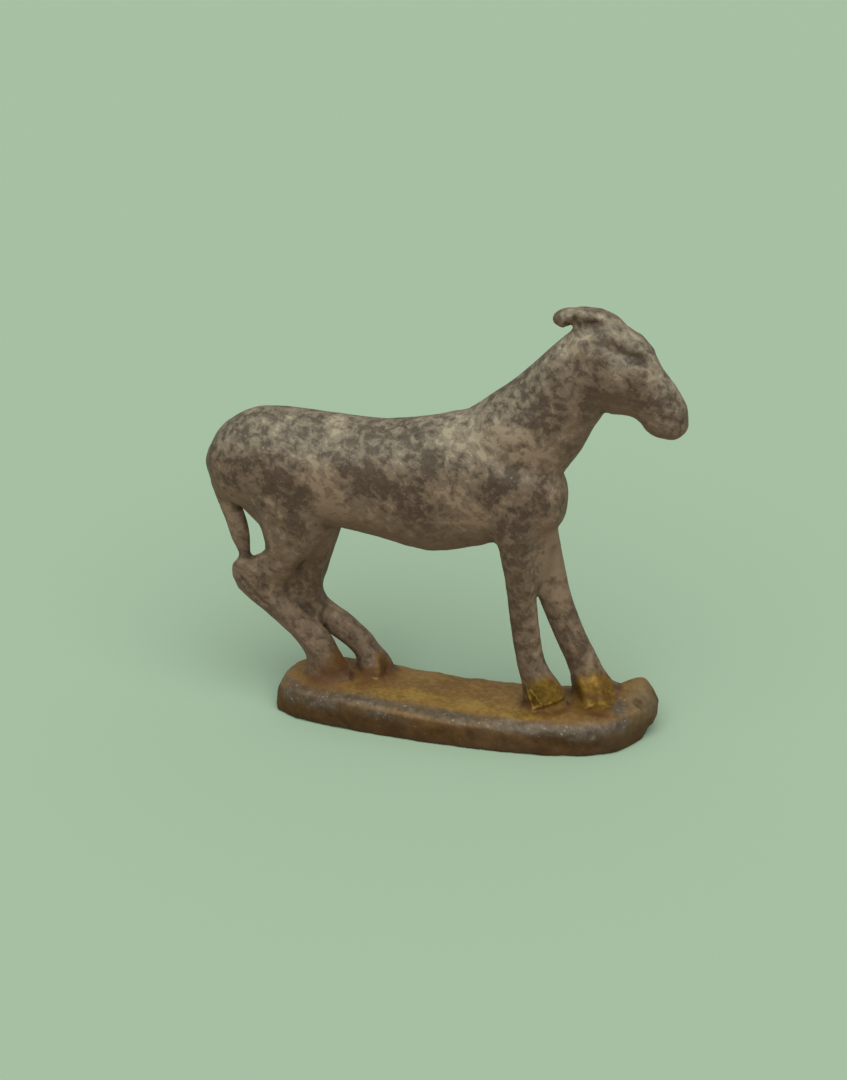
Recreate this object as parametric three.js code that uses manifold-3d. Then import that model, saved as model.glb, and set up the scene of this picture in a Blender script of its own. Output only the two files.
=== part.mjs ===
// Soft-metal figurine of a hoofed, long-tailed animal that stands on an oblong ground bar.
// The castings are pegged together and soldered: trunk, neck with head, two ears, tail, four legs, bar.
// Millimetres. +X runs towards the head, +Z is up, and Y = 0 is the parting plane of the mould.
// The near side is -Y. Z = 0 is the surface that the bar stands on.

import * as THREE from 'three';
import { mergeVertices } from 'three/addons/utils/BufferGeometryUtils.js';
import Module from 'manifold-3d';

const wasm = await Module();
wasm.setup();

// Fits: the solder film between two castings, the play round a peg and the space under its end
const SOLDER_GAP = 0.3;
const PEG_PLAY = 0.15;
const PEG_END_SPACE = 0.4;
const PEG_ROOT = 1.2;

// Pegs, each cast on the smaller of the two pieces that it joins
const NECK_PEG_RADIUS = 1.8;
const NECK_PEG_LENGTH = 4.5;
const HIP_PEG_RADIUS = 1.1;
const HIP_PEG_LENGTH = 3.2;
const FOOT_PEG_RADIUS = 0.9;
const FOOT_PEG_LENGTH = 2.2;
const TAIL_PEG_RADIUS = 0.7;
const TAIL_PEG_LENGTH = 2.6;
const EAR_PEG_RADIUS = 0.45;
const EAR_PEG_LENGTH = 1.4;

// The ground bar: its height at the feet, and how far its rounded section is cut off flat below
const BAR_HEIGHT = 4.3;
const BAR_SOLE_CUT = 1.4;

// How far the round ends of the forms stand out past their last stations
const RUMP_DOME = 0.5;
const CHEST_DOME = 0.3;
const POLL_DOME = 0.9;
const MUZZLE_DOME = 0.6;
const EAR_DOME = 0.4;
const TAIL_DOME = 0.4;
const LIMB_DOME = 2.6;
const BAR_DOME = 0.8;
const STUB_DOME = 0.5;

// Section shapes: 2 is an ellipse, more is squarer, less is nearer to a diamond
const ROUND = 2;
const BAR_SQUARENESS = 4.2;
const STUB_SQUARENESS = 2.8;
const HOOF_SQUARENESS = 1.6;

// How finely the castings are faceted
const ROUND_SIDES = 22;
const LIMB_SIDES = 14;
const SMALL_SIDES = 12;
const HOOF_SIDES = 8;
const STEPS_BETWEEN_STATIONS = 2;
const DOME_RINGS = 3;
const PEG_SIDES = 14;

// Longer than any piece, for cutters that have to reach past everything, the spread of the feet to each
// side of their seam, and how far the neck's cut runs on past its two notches
const REACH = 60;
const LEG_SPLAY = 16;
const NECK_CUT_REAR = 4;
const NECK_CUT_FRONT = 2;

// Each station of a limb is a pair of outline points in the side view, with the section's middle and
// half width across: [x, z, x, z, y, half width]. Heights of the figure are measured from the feet.
const TRUNK = [
  [-31.7, 28.7, -31.7, 25.4, 0, 1.6],
  [-30.7, 30.8, -30.7, 23.6, 0, 3.3],
  [-28.6, 32.9, -28.6, 22.0, 0, 4.5],
  [-25.5, 34.4, -25.5, 20.8, 0, 5.2],
  [-21.0, 34.6, -21.0, 20.1, 0, 5.5],
  [-16.0, 34.4, -16.0, 20.3, 0, 5.5],
  [-10.0, 34.4, -10.0, 19.5, 0, 5.4],
  [-4.0, 35.5, -4.0, 18.4, 0, 5.5],
  [1.5, 37.0, 1.5, 19.6, 0, 5.4],
  [6.5, 36.0, 6.5, 21.2, 0, 5.0],
  [10.0, 32.6, 10.0, 22.5, 0, 4.4],
  [11.6, 29.6, 11.9, 23.7, 0, 3.1],
  [12.1, 27.9, 12.1, 25.6, 0, 1.5],
];
const NECK = [
  [-1.8, 35.3, 8.6, 25.6, 0, 4.4],
  [2.4, 38.5, 12.0, 30.4, 0, 4.3],
  [6.45, 41.8, 13.8, 33.2, 0, 3.6],
  [10.0, 45.4, 15.4, 36.5, 0, 3.3],
  [12.65, 48.15, 17.3, 39.4, 0, 3.1],
];
const HEAD = [
  [13.0, 48.7, 14.6, 41.3, 0, 2.8],
  [16.5, 49.6, 16.4, 38.3, 0, 3.3],
  [19.65, 48.0, 18.4, 38.2, 0, 3.4],
  [21.5, 46.35, 19.9, 38.0, 0, 3.1],
  [22.8, 44.2, 20.9, 37.2, 0, 2.6],
  [24.6, 41.9, 21.3, 36.6, 0, 2.4],
  [25.9, 39.7, 22.5, 35.9, 0, 2.3],
  [26.15, 37.7, 24.25, 35.75, 0, 1.8],
];
const EARS = [
  [10.4, 49.8, 10.6, 48.3, 0, 0.9],
  [11.2, 50.3, 11.5, 47.9, 0, 1.3],
  [12.5, 50.5, 12.4, 48.8, 0, 1.0],
  [14.0, 50.5, 13.8, 48.6, 0, 1.5],
  [16.0, 50.4, 15.6, 48.6, 0, 1.5],
  [17.6, 49.8, 17.0, 48.2, 0, 1.2],
  [18.8, 48.9, 18.2, 47.8, 0, 0.8],
];
const TAIL = [
  [-31.0, 28.0, -28.2, 26.0, 0, 1.5],
  [-32.1, 25.8, -28.7, 23.6, 0, 1.5],
  [-31.2, 22.4, -28.0, 21.1, 0, 1.3],
  [-30.1, 19.6, -27.3, 19.1, -0.2, 1.2],
  [-29.2, 17.2, -26.9, 17.1, -0.5, 1.1],
  [-28.2, 15.5, -26.8, 15.3, -0.9, 0.9],
  [-27.6, 13.3, -26.4, 13.3, -1.2, 0.9],
];
const NEAR_HIND_LEG = [
  [-27.2, 28.2, -15.0, 27.6, -2.9, 2.9],
  [-26.4, 23.6, -16.2, 23.2, -2.7, 2.8],
  [-24.8, 20.3, -17.2, 18.7, -2.5, 2.5],
  [-24.3, 17.0, -19.8, 15.3, -2.3, 2.1],
  [-26.3, 15.5, -21.3, 13.3, -2.1, 1.9],
  [-28.9, 14.6, -22.0, 12.1, -2.0, 1.8],
  [-28.2, 11.4, -22.0, 10.9, -1.9, 1.8],
  [-25.2, 9.0, -20.9, 9.6, -1.9, 1.7],
  [-22.8, 6.9, -19.3, 8.4, -1.9, 1.65],
  [-20.6, 4.8, -16.7, 6.3, -1.9, 1.6],
  [-19.5, 2.8, -15.5, 4.3, -1.9, 1.6],
  [-19.4, -1.3, -14.2, -1.0, -1.9, 1.6],
];
const FAR_HIND_LEG = [
  [-26.8, 28.4, -14.8, 27.4, 2.9, 2.9],
  [-25.5, 23.7, -15.6, 22.2, 2.7, 2.8],
  [-24.4, 20.2, -15.9, 19.1, 2.5, 2.5],
  [-23.3, 16.2, -16.85, 16.3, 2.3, 2.1],
  [-23.6, 13.0, -17.8, 12.9, 2.1, 1.9],
  [-23.6, 9.9, -18.5, 10.5, 2.0, 1.8],
  [-21.4, 7.4, -17.8, 8.9, 1.9, 1.7],
  [-18.8, 5.2, -15.4, 7.3, 1.9, 1.65],
  [-16.3, 3.6, -13.2, 5.5, 1.9, 1.6],
  [-14.4, 2.0, -11.6, 3.7, 1.9, 1.6],
  [-13.5, -1.3, -9.6, -0.9, 1.9, 1.6],
];
const NEAR_FORE_LEG = [
  [1.8, 30.2, 9.4, 29.6, -2.75, 2.6],
  [2.8, 25.2, 9.5, 25.7, -2.7, 2.5],
  [4.6, 21.1, 9.2, 21.1, -2.5, 2.3],
  [5.4, 17.5, 9.2, 16.9, -2.2, 2.0],
  [5.95, 13.1, 9.45, 13.0, -2.0, 1.8],
  [6.45, 9.0, 9.85, 9.4, -1.9, 1.7],
  [7.15, 5.1, 10.55, 5.8, -1.8, 1.6],
  [7.7, 2.9, 11.7, 3.9, -1.9, 1.6],
  [8.0, -1.3, 12.2, -1.3, -1.9, 1.6],
];
const FAR_FORE_LEG = [
  [3.2, 30.2, 10.0, 29.6, 2.7, 2.5],
  [5.0, 26.2, 10.8, 26.2, 2.6, 2.5],
  [6.6, 21.3, 10.8, 21.9, 2.4, 2.3],
  [7.3, 16.3, 11.85, 16.7, 2.2, 2.0],
  [9.0, 12.1, 12.9, 12.7, 2.0, 1.8],
  [10.5, 8.6, 14.25, 9.3, 1.9, 1.7],
  [11.95, 5.5, 15.9, 6.0, 1.8, 1.7],
  [12.9, 2.9, 17.2, 3.5, 1.9, 1.6],
  [13.3, -1.3, 18.4, -1.3, 1.9, 1.6],
];

// Hooves, flared wedges with a sharp edge down the outer side, from the coronet to the sole in the bar
const NEAR_HIND_HOOF = [
  [-19.6, 2.8, -15.1, 4.2, -1.9, 1.7],
  [-19.6, 0.9, -13.9, 2.0, -1.9, 1.8],
  [-19.5, -1.3, -13.3, -1.0, -1.9, 1.9],
];
const FAR_HIND_HOOF = [
  [-14.2, 1.9, -11.2, 3.5, 1.9, 1.7],
  [-13.8, 0.6, -9.8, 2.0, 1.9, 1.8],
  [-13.6, -1.3, -8.7, -0.9, 1.9, 1.9],
];
const NEAR_FORE_HOOF = [
  [7.7, 3.2, 11.8, 4.5, -1.9, 1.7],
  [7.8, 1.3, 13.2, 2.1, -1.9, 1.75],
  [7.8, -1.3, 13.5, -1.2, -1.9, 1.8],
];
const FAR_FORE_HOOF = [
  [12.8, 2.9, 17.4, 3.7, 1.9, 1.7],
  [13.0, 1.2, 18.8, 1.7, 1.9, 1.8],
  [13.1, -1.3, 19.3, -1.2, 1.9, 1.85],
];

// Forms on both sides of the head. Each is seated on its surface, at a share of the way from poll to
// muzzle and so many degrees round from the crest, and sunk into it. Its half sizes run along, up and
// across, and it tilts down towards the nose by so many degrees.
const BROW = { share: 0.247, round: 31, sunk: 0.5, along: 2.7, high: 0.65, deep: 0.75, tilt: 33 };
const EYELID = { share: 0.368, round: 55, sunk: 0.2, along: 1.3, high: 0.5, deep: 0.5, tilt: 24 };
const JOWL = { share: 0.244, round: 90, sunk: 0.95, along: 3.0, high: 3.0, deep: 1.2, tilt: 0 };
const EYE_SLIT = { share: 0.347, round: 45, sunk: 0, along: 1.6, high: 0.35, deep: 0.55, tilt: 24 };
const NOSTRIL = { share: 0.743, round: 49, sunk: 0, along: 0.6, high: 0.35, deep: 0.5, tilt: 50 };

// The ground bar's stations: [x at the top, x at the sole, crown above the feet, near edge y, far edge y]
const BAR = [
  [-22.2, -22.9, -0.3, -4.0, 2.6],
  [-19.5, -19.7, 0.4, -5.7, 4.3],
  [-10.0, -10.0, 0.15, -6.85, 5.0],
  [0.0, 0.0, -0.3, -7.25, 4.8],
  [10.0, 10.0, 0.1, -6.8, 5.0],
  [16.5, 16.4, 0.3, -5.5, 5.6],
  [20.2, 20.0, 0.45, -3.5, 6.2],
  [22.2, 21.85, 0.4, -0.4, 6.0],
];

// The casting stub at the bar's head end, a blunt wedge that rises from the bar and falls off in front
const STUB = [
  [17.8, 0.4, 17.8, -2.5, 3.3, 2.2],
  [19.4, 1.3, 19.4, -2.8, 3.4, 2.9],
  [21.2, 1.75, 21.1, -3.0, 3.5, 3.0],
  [22.6, 0.8, 22.2, -3.2, 3.4, 2.8],
  [23.2, -0.3, 22.9, -3.0, 3.2, 2.2],
];

// Seams in the side view, each from its rear notch to its front notch
const NECK_SEAM = { rear: [0.6, 37.9], front: [12.2, 30.2] };
const FORE_SEAM = { rear: [3.4, 20.2], front: [11.6, 22.5] };
const HIND_SEAM = { rear: [-27.2, 22.3], front: [-15.2, 19.7] };

const LEAD = { color: 0x6b6257, roughness: 0.55, metalness: 0.35 };
const GILT = { color: 0x7d6430, roughness: 0.45, metalness: 0.6 };

// Solids

function toSolid(geometry) {
  const bare = geometry.clone();
  bare.deleteAttribute('normal');
  bare.deleteAttribute('uv');
  const merged = mergeVertices(bare);
  const vertProperties = new Float32Array(merged.attributes.position.array);
  const triVerts = new Uint32Array(merged.index.array);
  return new wasm.Manifold(new wasm.Mesh({ numProp: 3, vertProperties, triVerts }));
}

function toMesh(name, solid, finish) {
  const { vertProperties, triVerts } = solid.getMesh();
  const geometry = new THREE.BufferGeometry();
  geometry.setAttribute('position', new THREE.BufferAttribute(vertProperties, 3));
  geometry.setIndex(new THREE.BufferAttribute(triVerts, 1));
  geometry.computeVertexNormals();
  const mesh = new THREE.Mesh(geometry, new THREE.MeshStandardMaterial(finish));
  mesh.name = name;
  return mesh;
}

function enclosedVolume(points, faces) {
  let volume = 0;
  for (const [a, b, c] of faces) {
    volume += points[a].dot(points[b].clone().cross(points[c])) / 6;
  }
  return volume;
}

// Gives the section at any share of the way along the stations: its middle, half height and half width
function sectionsAlong(stations, grow) {
  const first = stations.map(([x, z, , , y]) => new THREE.Vector3(x, y, z));
  const second = stations.map(([, , x, z, , width]) => new THREE.Vector3(x, width, z));
  const firstEdge = new THREE.CatmullRomCurve3(first);
  const secondEdge = new THREE.CatmullRomCurve3(second);
  return (share) => {
    const a = firstEdge.getPoint(share);
    const b = secondEdge.getPoint(share);
    const half = new THREE.Vector3((a.x - b.x) / 2, 0, (a.z - b.z) / 2);
    half.setLength(half.length() + grow);
    const middle = new THREE.Vector3((a.x + b.x) / 2, a.y, (a.z + b.z) / 2);
    return { middle, half, width: b.y + grow };
  };
}

// A closed body through paired outline points. Its sections are ellipses, or squarer where asked.
function loft(stations, { sides, square = ROUND, grow = 0, startDome = 0, endDome = 0 }) {
  const sectionAt = sectionsAlong(stations, grow);
  const steps = (stations.length - 1) * STEPS_BETWEEN_STATIONS;
  const sections = [];
  for (let step = 0; step <= steps; step += 1) {
    sections.push(sectionAt(step / steps));
  }
  const opening = domeSections(sections[0], sections[1], startDome + grow);
  const closing = domeSections(sections[steps], sections[steps - 1], endDome + grow);
  return skin([...opening.reverse(), ...sections, ...closing], sides, square);
}

// Sections that close the end of a loft, shrinking along a quarter ellipse away from its inner section
function domeSections(end, inner, height) {
  const outward = end.middle.clone().sub(inner.middle).normalize();
  const rings = [];
  for (let ring = 1; ring <= DOME_RINGS; ring += 1) {
    const angle = (ring / DOME_RINGS) * (Math.PI / 2);
    const middle = end.middle.clone().addScaledVector(outward, Math.sin(angle) * height);
    const share = Math.cos(angle);
    rings.push({ middle, half: end.half.clone().multiplyScalar(share), width: end.width * share });
  }
  return rings;
}

function powered(value, square) {
  return Math.sign(value) * Math.abs(value) ** (2 / square);
}

// Joins sections into a closed skin. The first and last section have shrunk to their middle points.
function skin(sections, sides, square) {
  const points = [sections[0].middle];
  for (const { middle, half, width } of sections.slice(1, -1)) {
    for (let side = 0; side < sides; side += 1) {
      const angle = (side / sides) * Math.PI * 2;
      const point = middle.clone().addScaledVector(half, powered(Math.cos(angle), square));
      point.y += width * powered(Math.sin(angle), square);
      points.push(point);
    }
  }
  points.push(sections[sections.length - 1].middle);

  const rings = sections.length - 2;
  const last = points.length - 1;
  const at = (ring, side) => 1 + ring * sides + (side % sides);
  const faces = [];
  for (let side = 0; side < sides; side += 1) {
    faces.push([0, at(0, side + 1), at(0, side)]);
    for (let ring = 0; ring < rings - 1; ring += 1) {
      faces.push([at(ring, side), at(ring, side + 1), at(ring + 1, side)]);
      faces.push([at(ring, side + 1), at(ring + 1, side + 1), at(ring + 1, side)]);
    }
    faces.push([last, at(rings - 1, side), at(rings - 1, side + 1)]);
  }
  const inward = enclosedVolume(points, faces) < 0;
  const outward = inward ? faces.map(([a, b, c]) => [a, c, b]) : faces;
  const geometry = new THREE.BufferGeometry().setFromPoints(points);
  geometry.setIndex(outward.flat());
  return toSolid(geometry);
}

// A prism over an outline in the side view, from one depth to another
function prism(outline, fromY, toY) {
  const shape = new THREE.Shape(outline.map(([x, z]) => new THREE.Vector2(x, z)));
  const geometry = new THREE.ExtrudeGeometry(shape, { depth: toY - fromY, bevelEnabled: false });
  geometry.rotateX(Math.PI / 2);
  geometry.translate(0, toY, 0);
  return toSolid(geometry);
}

// The unit normal of a seam, to the left of the way from its rear notch to its front notch
function seamNormal({ rear, front }) {
  const run = new THREE.Vector2(front[0] - rear[0], front[1] - rear[1]).normalize();
  return new THREE.Vector2(-run.y, run.x);
}

// Everything in front of the neck's seam, or below a leg's seam, starting a given distance off the seam
function neckCutter(offset) {
  const normal = seamNormal(NECK_SEAM);
  const run = new THREE.Vector2(normal.y, -normal.x);
  const rear = new THREE.Vector2(...NECK_SEAM.rear).addScaledVector(normal, offset);
  const front = new THREE.Vector2(...NECK_SEAM.front).addScaledVector(normal, offset);
  rear.addScaledVector(run, -NECK_CUT_REAR);
  front.addScaledVector(run, NECK_CUT_FRONT);
  const outline = [rear.toArray(), front.toArray(), [REACH, front.y], [REACH, REACH], [rear.x, REACH]];
  return prism(outline, -REACH, REACH);
}

function legCutter({ rear, front }, offset, fromY, toY) {
  const outline = [
    [rear[0] - offset, rear[1] + offset],
    [front[0] + offset, front[1] + offset],
    [front[0] + offset + LEG_SPLAY, -LEG_SPLAY],
    [rear[0] - offset - LEG_SPLAY, -LEG_SPLAY],
  ];
  return prism(outline, fromY, toY);
}

// A form seated on one side of the head
function headDetail({ share, round, sunk, along, high, deep, tilt }, side, grow) {
  const { middle, half, width } = sectionsAlong(HEAD, 0)(share);
  const angle = THREE.MathUtils.degToRad(round);
  const seat = middle.clone().addScaledVector(half, Math.cos(angle));
  seat.y += side * width * Math.sin(angle);
  seat.addScaledVector(middle.clone().sub(seat).normalize(), sunk);

  const geometry = new THREE.SphereGeometry(1, SMALL_SIDES, SMALL_SIDES / 2);
  geometry.scale(along + grow, deep + grow, high + grow);
  geometry.rotateY(THREE.MathUtils.degToRad(tilt));
  geometry.translate(seat.x, seat.y, seat.z);
  return toSolid(geometry);
}

// A round peg that points along a direction. Its root reaches back into the piece that carries it.
function peg(base, direction, radius, length, root) {
  const geometry = new THREE.CylinderGeometry(radius, radius, length + root, PEG_SIDES);
  geometry.translate(0, (length - root) / 2, 0);
  const turn = new THREE.Quaternion().setFromUnitVectors(new THREE.Vector3(0, 1, 0), direction);
  geometry.applyQuaternion(turn);
  geometry.translate(base.x, base.y, base.z);
  return toSolid(geometry);
}

function socket(base, direction, radius, length) {
  return peg(base, direction, radius + PEG_PLAY, length + PEG_END_SPACE, PEG_ROOT);
}

// Whole forms, before they are parted

const SIDES = [-1, 1];

function trunkForm(grow) {
  return loft(TRUNK, { sides: ROUND_SIDES, grow, startDome: RUMP_DOME, endDome: CHEST_DOME });
}

function neckForm(grow) {
  return loft(NECK, { sides: ROUND_SIDES, grow });
}

function headForm(grow) {
  let head = loft(HEAD, { sides: ROUND_SIDES, grow, startDome: POLL_DOME, endDome: MUZZLE_DOME });
  for (const side of SIDES) {
    for (const detail of [BROW, EYELID, JOWL]) {
      head = head.add(headDetail(detail, side, grow));
    }
  }
  return head;
}

function legForm({ stations, hoof }, grow) {
  const limb = loft(stations, { sides: LIMB_SIDES, grow, startDome: LIMB_DOME });
  return limb.add(loft(hoof, { sides: HOOF_SIDES, square: HOOF_SQUARENESS, grow }));
}

function barForm(grow) {
  const stations = BAR.map(([topX, soleX, crown, near, far]) => {
    const top = BAR_HEIGHT + crown;
    return [topX, top, soleX, -BAR_SOLE_CUT, (near + far) / 2, (far - near) / 2];
  });
  const ends = { startDome: BAR_DOME, endDome: BAR_DOME };
  const body = loft(stations, { sides: ROUND_SIDES, square: BAR_SQUARENESS, grow, ...ends });
  const stubEnds = { startDome: STUB_DOME, endDome: STUB_DOME };
  const stub = loft(STUB, { sides: SMALL_SIDES, square: STUB_SQUARENESS, grow, ...stubEnds });
  return body.add(stub.translate(0, 0, BAR_HEIGHT));
}

const legs = [
  { name: 'near_fore_leg', stations: NEAR_FORE_LEG, hoof: NEAR_FORE_HOOF, seam: FORE_SEAM, side: -1 },
  { name: 'far_fore_leg', stations: FAR_FORE_LEG, hoof: FAR_FORE_HOOF, seam: FORE_SEAM, side: 1 },
  { name: 'near_hind_leg', stations: NEAR_HIND_LEG, hoof: NEAR_HIND_HOOF, seam: HIND_SEAM, side: -1 },
  { name: 'far_hind_leg', stations: FAR_HIND_LEG, hoof: FAR_HIND_HOOF, seam: HIND_SEAM, side: 1 },
];

// The bar moved into the figure's own frame, whose heights start at the feet
const barAtFeet = barForm(SOLDER_GAP).translate(0, 0, -BAR_HEIGHT);
const sagittal = { near: [-REACH, -SOLDER_GAP / 2], far: [SOLDER_GAP / 2, REACH] };

// Places of the pegs

const up = new THREE.Vector3(0, 0, 1);
const down = new THREE.Vector3(0, 0, -1);

function seamPoint({ rear, front }, share, y) {
  const x = rear[0] + (front[0] - rear[0]) * share;
  const z = rear[1] + (front[1] - rear[1]) * share;
  return new THREE.Vector3(x, y, z);
}

function seamDirection(seam, side) {
  const normal = seamNormal(seam);
  return new THREE.Vector3(normal.x * side, 0, normal.y * side);
}

function middleOf([firstX, firstZ, secondX, secondZ, y]) {
  return new THREE.Vector3((firstX + secondX) / 2, y, (firstZ + secondZ) / 2);
}

for (const leg of legs) {
  const [, , thighOrElbow] = leg.stations;
  const { rear, front } = leg.seam;
  const joint = middleOf(thighOrElbow);
  leg.hip = seamPoint(leg.seam, (joint.x - rear[0]) / (front[0] - rear[0]), joint.y);
  leg.hipDirection = seamDirection(leg.seam, 1);
  leg.foot = middleOf(leg.hoof[leg.hoof.length - 1]).setZ(0);
}
const neckRoot = seamPoint(NECK_SEAM, 0.5, 0);
const neckDirection = seamDirection(NECK_SEAM, -1);
const [, tailDock, tailBelowDock] = TAIL;
const tailRoot = middleOf(tailDock).lerp(middleOf(tailBelowDock), 0.5);
const earBase = EARS[EARS.length - 3];
const earRoots = SIDES.map((side) => middleOf(earBase).setY((side * earBase[5]) / 2));

// Pieces

const master = legs.reduce(
  (body, leg) => body.add(legForm(leg, 0)),
  trunkForm(0).add(neckForm(0)).add(headForm(0)),
);

function makeTrunk() {
  let trunk = master.subtract(neckCutter(-SOLDER_GAP));
  trunk = trunk.subtract(socket(neckRoot, neckDirection, NECK_PEG_RADIUS, NECK_PEG_LENGTH));
  for (const seam of [FORE_SEAM, HIND_SEAM]) {
    trunk = trunk.subtract(legCutter(seam, SOLDER_GAP, -REACH, REACH));
  }
  for (const leg of legs) {
    trunk = trunk.subtract(socket(leg.hip, leg.hipDirection, HIP_PEG_RADIUS, HIP_PEG_LENGTH));
  }
  return trunk.subtract(socket(tailRoot, up, TAIL_PEG_RADIUS, TAIL_PEG_LENGTH));
}

function makeNeckAndHead() {
  let piece = master.intersect(neckCutter(0));
  piece = piece.add(peg(neckRoot, neckDirection, NECK_PEG_RADIUS, NECK_PEG_LENGTH, PEG_ROOT));
  for (const root of earRoots) {
    piece = piece.subtract(socket(root, down, EAR_PEG_RADIUS, EAR_PEG_LENGTH));
  }
  for (const side of SIDES) {
    for (const hollow of [EYE_SLIT, NOSTRIL]) {
      piece = piece.subtract(headDetail(hollow, side, 0));
    }
  }
  return piece;
}

function makeLeg(leg) {
  const [fromY, toY] = leg.side < 0 ? sagittal.near : sagittal.far;
  let piece = master.intersect(legCutter(leg.seam, 0, fromY, toY));
  piece = piece.subtract(barAtFeet);
  piece = piece.add(peg(leg.hip, leg.hipDirection, HIP_PEG_RADIUS, HIP_PEG_LENGTH, PEG_ROOT));
  return piece.add(peg(leg.foot, down, FOOT_PEG_RADIUS, FOOT_PEG_LENGTH, PEG_ROOT));
}

function makeTail() {
  let tail = loft(TAIL, { sides: SMALL_SIDES, endDome: TAIL_DOME });
  tail = tail.subtract(trunkForm(SOLDER_GAP));
  for (const leg of legs) {
    tail = tail.subtract(legForm(leg, SOLDER_GAP));
  }
  return tail.add(peg(tailRoot, up, TAIL_PEG_RADIUS, TAIL_PEG_LENGTH, PEG_ROOT));
}

function makeEar(root) {
  const [fromY, toY] = root.y < 0 ? sagittal.near : sagittal.far;
  const halfSpace = prism([[-REACH, -REACH], [REACH, -REACH], [REACH, REACH], [-REACH, REACH]], fromY, toY);
  const bothEars = loft(EARS, { sides: SMALL_SIDES, startDome: EAR_DOME, endDome: EAR_DOME });
  let ear = bothEars.intersect(halfSpace);
  ear = ear.subtract(headForm(SOLDER_GAP)).subtract(neckForm(SOLDER_GAP));
  return ear.add(peg(root, down, EAR_PEG_RADIUS, EAR_PEG_LENGTH, PEG_ROOT / 2));
}

function makeBar() {
  const sole = [[-REACH, -REACH], [REACH, -REACH], [REACH, 0], [-REACH, 0]];
  let bar = barForm(0).subtract(prism(sole, -REACH, REACH));
  for (const leg of legs) {
    const onBar = leg.foot.clone().setZ(BAR_HEIGHT);
    bar = bar.subtract(socket(onBar, down, FOOT_PEG_RADIUS, FOOT_PEG_LENGTH));
  }
  return bar;
}

// The figure rides on the bar

const figure = new THREE.Group();
figure.position.z = BAR_HEIGHT;
figure.add(toMesh('trunk', makeTrunk(), LEAD));
figure.add(toMesh('neck_and_head', makeNeckAndHead(), LEAD));
figure.add(toMesh('near_ear', makeEar(earRoots[0]), LEAD));
figure.add(toMesh('far_ear', makeEar(earRoots[1]), LEAD));
figure.add(toMesh('tail', makeTail(), LEAD));
for (const leg of legs) {
  figure.add(toMesh(leg.name, makeLeg(leg), LEAD));
}

const figurine = new THREE.Group();
figurine.add(toMesh('ground_bar', makeBar(), GILT));
figurine.add(figure);

export default figurine;
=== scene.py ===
"""The looks of a small animal cast in soft metal, standing on a ground bar.

The castings come in as separate solids. Their outsides are joined into one skin, as solder and filler
join them, worked like the soft metal it is, and parted again into one closed piece for each casting.
Bloom, bare metal, dirt and worn gold are laid on by place and by shape, and with them painted light and
shade: tops made paler in part by painted light, undersides lit by painted light, painted shade in the
hollows, along the flash, round the feet and in some flank patches, and painted highlights on the gold, on
the rubbed metal and in the specks. The materials break them up with noise. Lengths are millimetres until
a mesh is written. The near side is the one with negative y.
"""
import math

import bmesh
import bpy
import numpy as np
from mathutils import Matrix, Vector, noise
from mathutils.bvhtree import BVHTree


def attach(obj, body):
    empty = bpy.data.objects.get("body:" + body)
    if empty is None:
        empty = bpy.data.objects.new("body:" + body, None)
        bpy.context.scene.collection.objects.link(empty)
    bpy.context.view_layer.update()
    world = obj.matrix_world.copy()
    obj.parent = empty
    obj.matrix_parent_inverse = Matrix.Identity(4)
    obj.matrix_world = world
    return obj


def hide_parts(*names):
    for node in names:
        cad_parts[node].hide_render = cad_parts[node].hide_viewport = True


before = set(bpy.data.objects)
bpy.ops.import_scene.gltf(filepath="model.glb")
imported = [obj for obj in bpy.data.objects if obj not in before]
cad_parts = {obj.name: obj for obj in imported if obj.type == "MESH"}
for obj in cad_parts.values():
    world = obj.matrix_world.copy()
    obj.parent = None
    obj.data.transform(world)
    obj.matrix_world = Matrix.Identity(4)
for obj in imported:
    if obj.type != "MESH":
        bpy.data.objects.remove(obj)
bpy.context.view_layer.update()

MM = 0.001
NODES = sorted(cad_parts)
BAR = "ground_bar"

# The skin: how finely it is meshed, how far the castings are swollen so that their seams close, and how
# many rounds of smoothing take the facets off the whole skin, off the barrel and neck, and off the seams.
MESH_STEP = 0.17
SEAM_SWELL = 0.2
SKIN_EVENING = 12
BARREL_EVENING = 60
SEAM_EVENING = 24

# How many rounds blur the border of two castings, and how steeply a seam's strip rises from that blur.
SEAM_SPREAD = 14
SEAM_GAIN = 2

# The castings of the barrel and neck, and the stretch of x over which the face leaves their smoothing.
BARREL = ("trunk", "neck_and_head")
FACE = (12.0, 15.0)

# How much of the way to its neighbours a point goes in one round, when softened and when filled, and after
# how many rounds of filling the normals are taken anew.
SOFTEN_SHARE = 0.5
FILL_SHARE = 0.7
NORMALS_EVERY = 10

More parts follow.
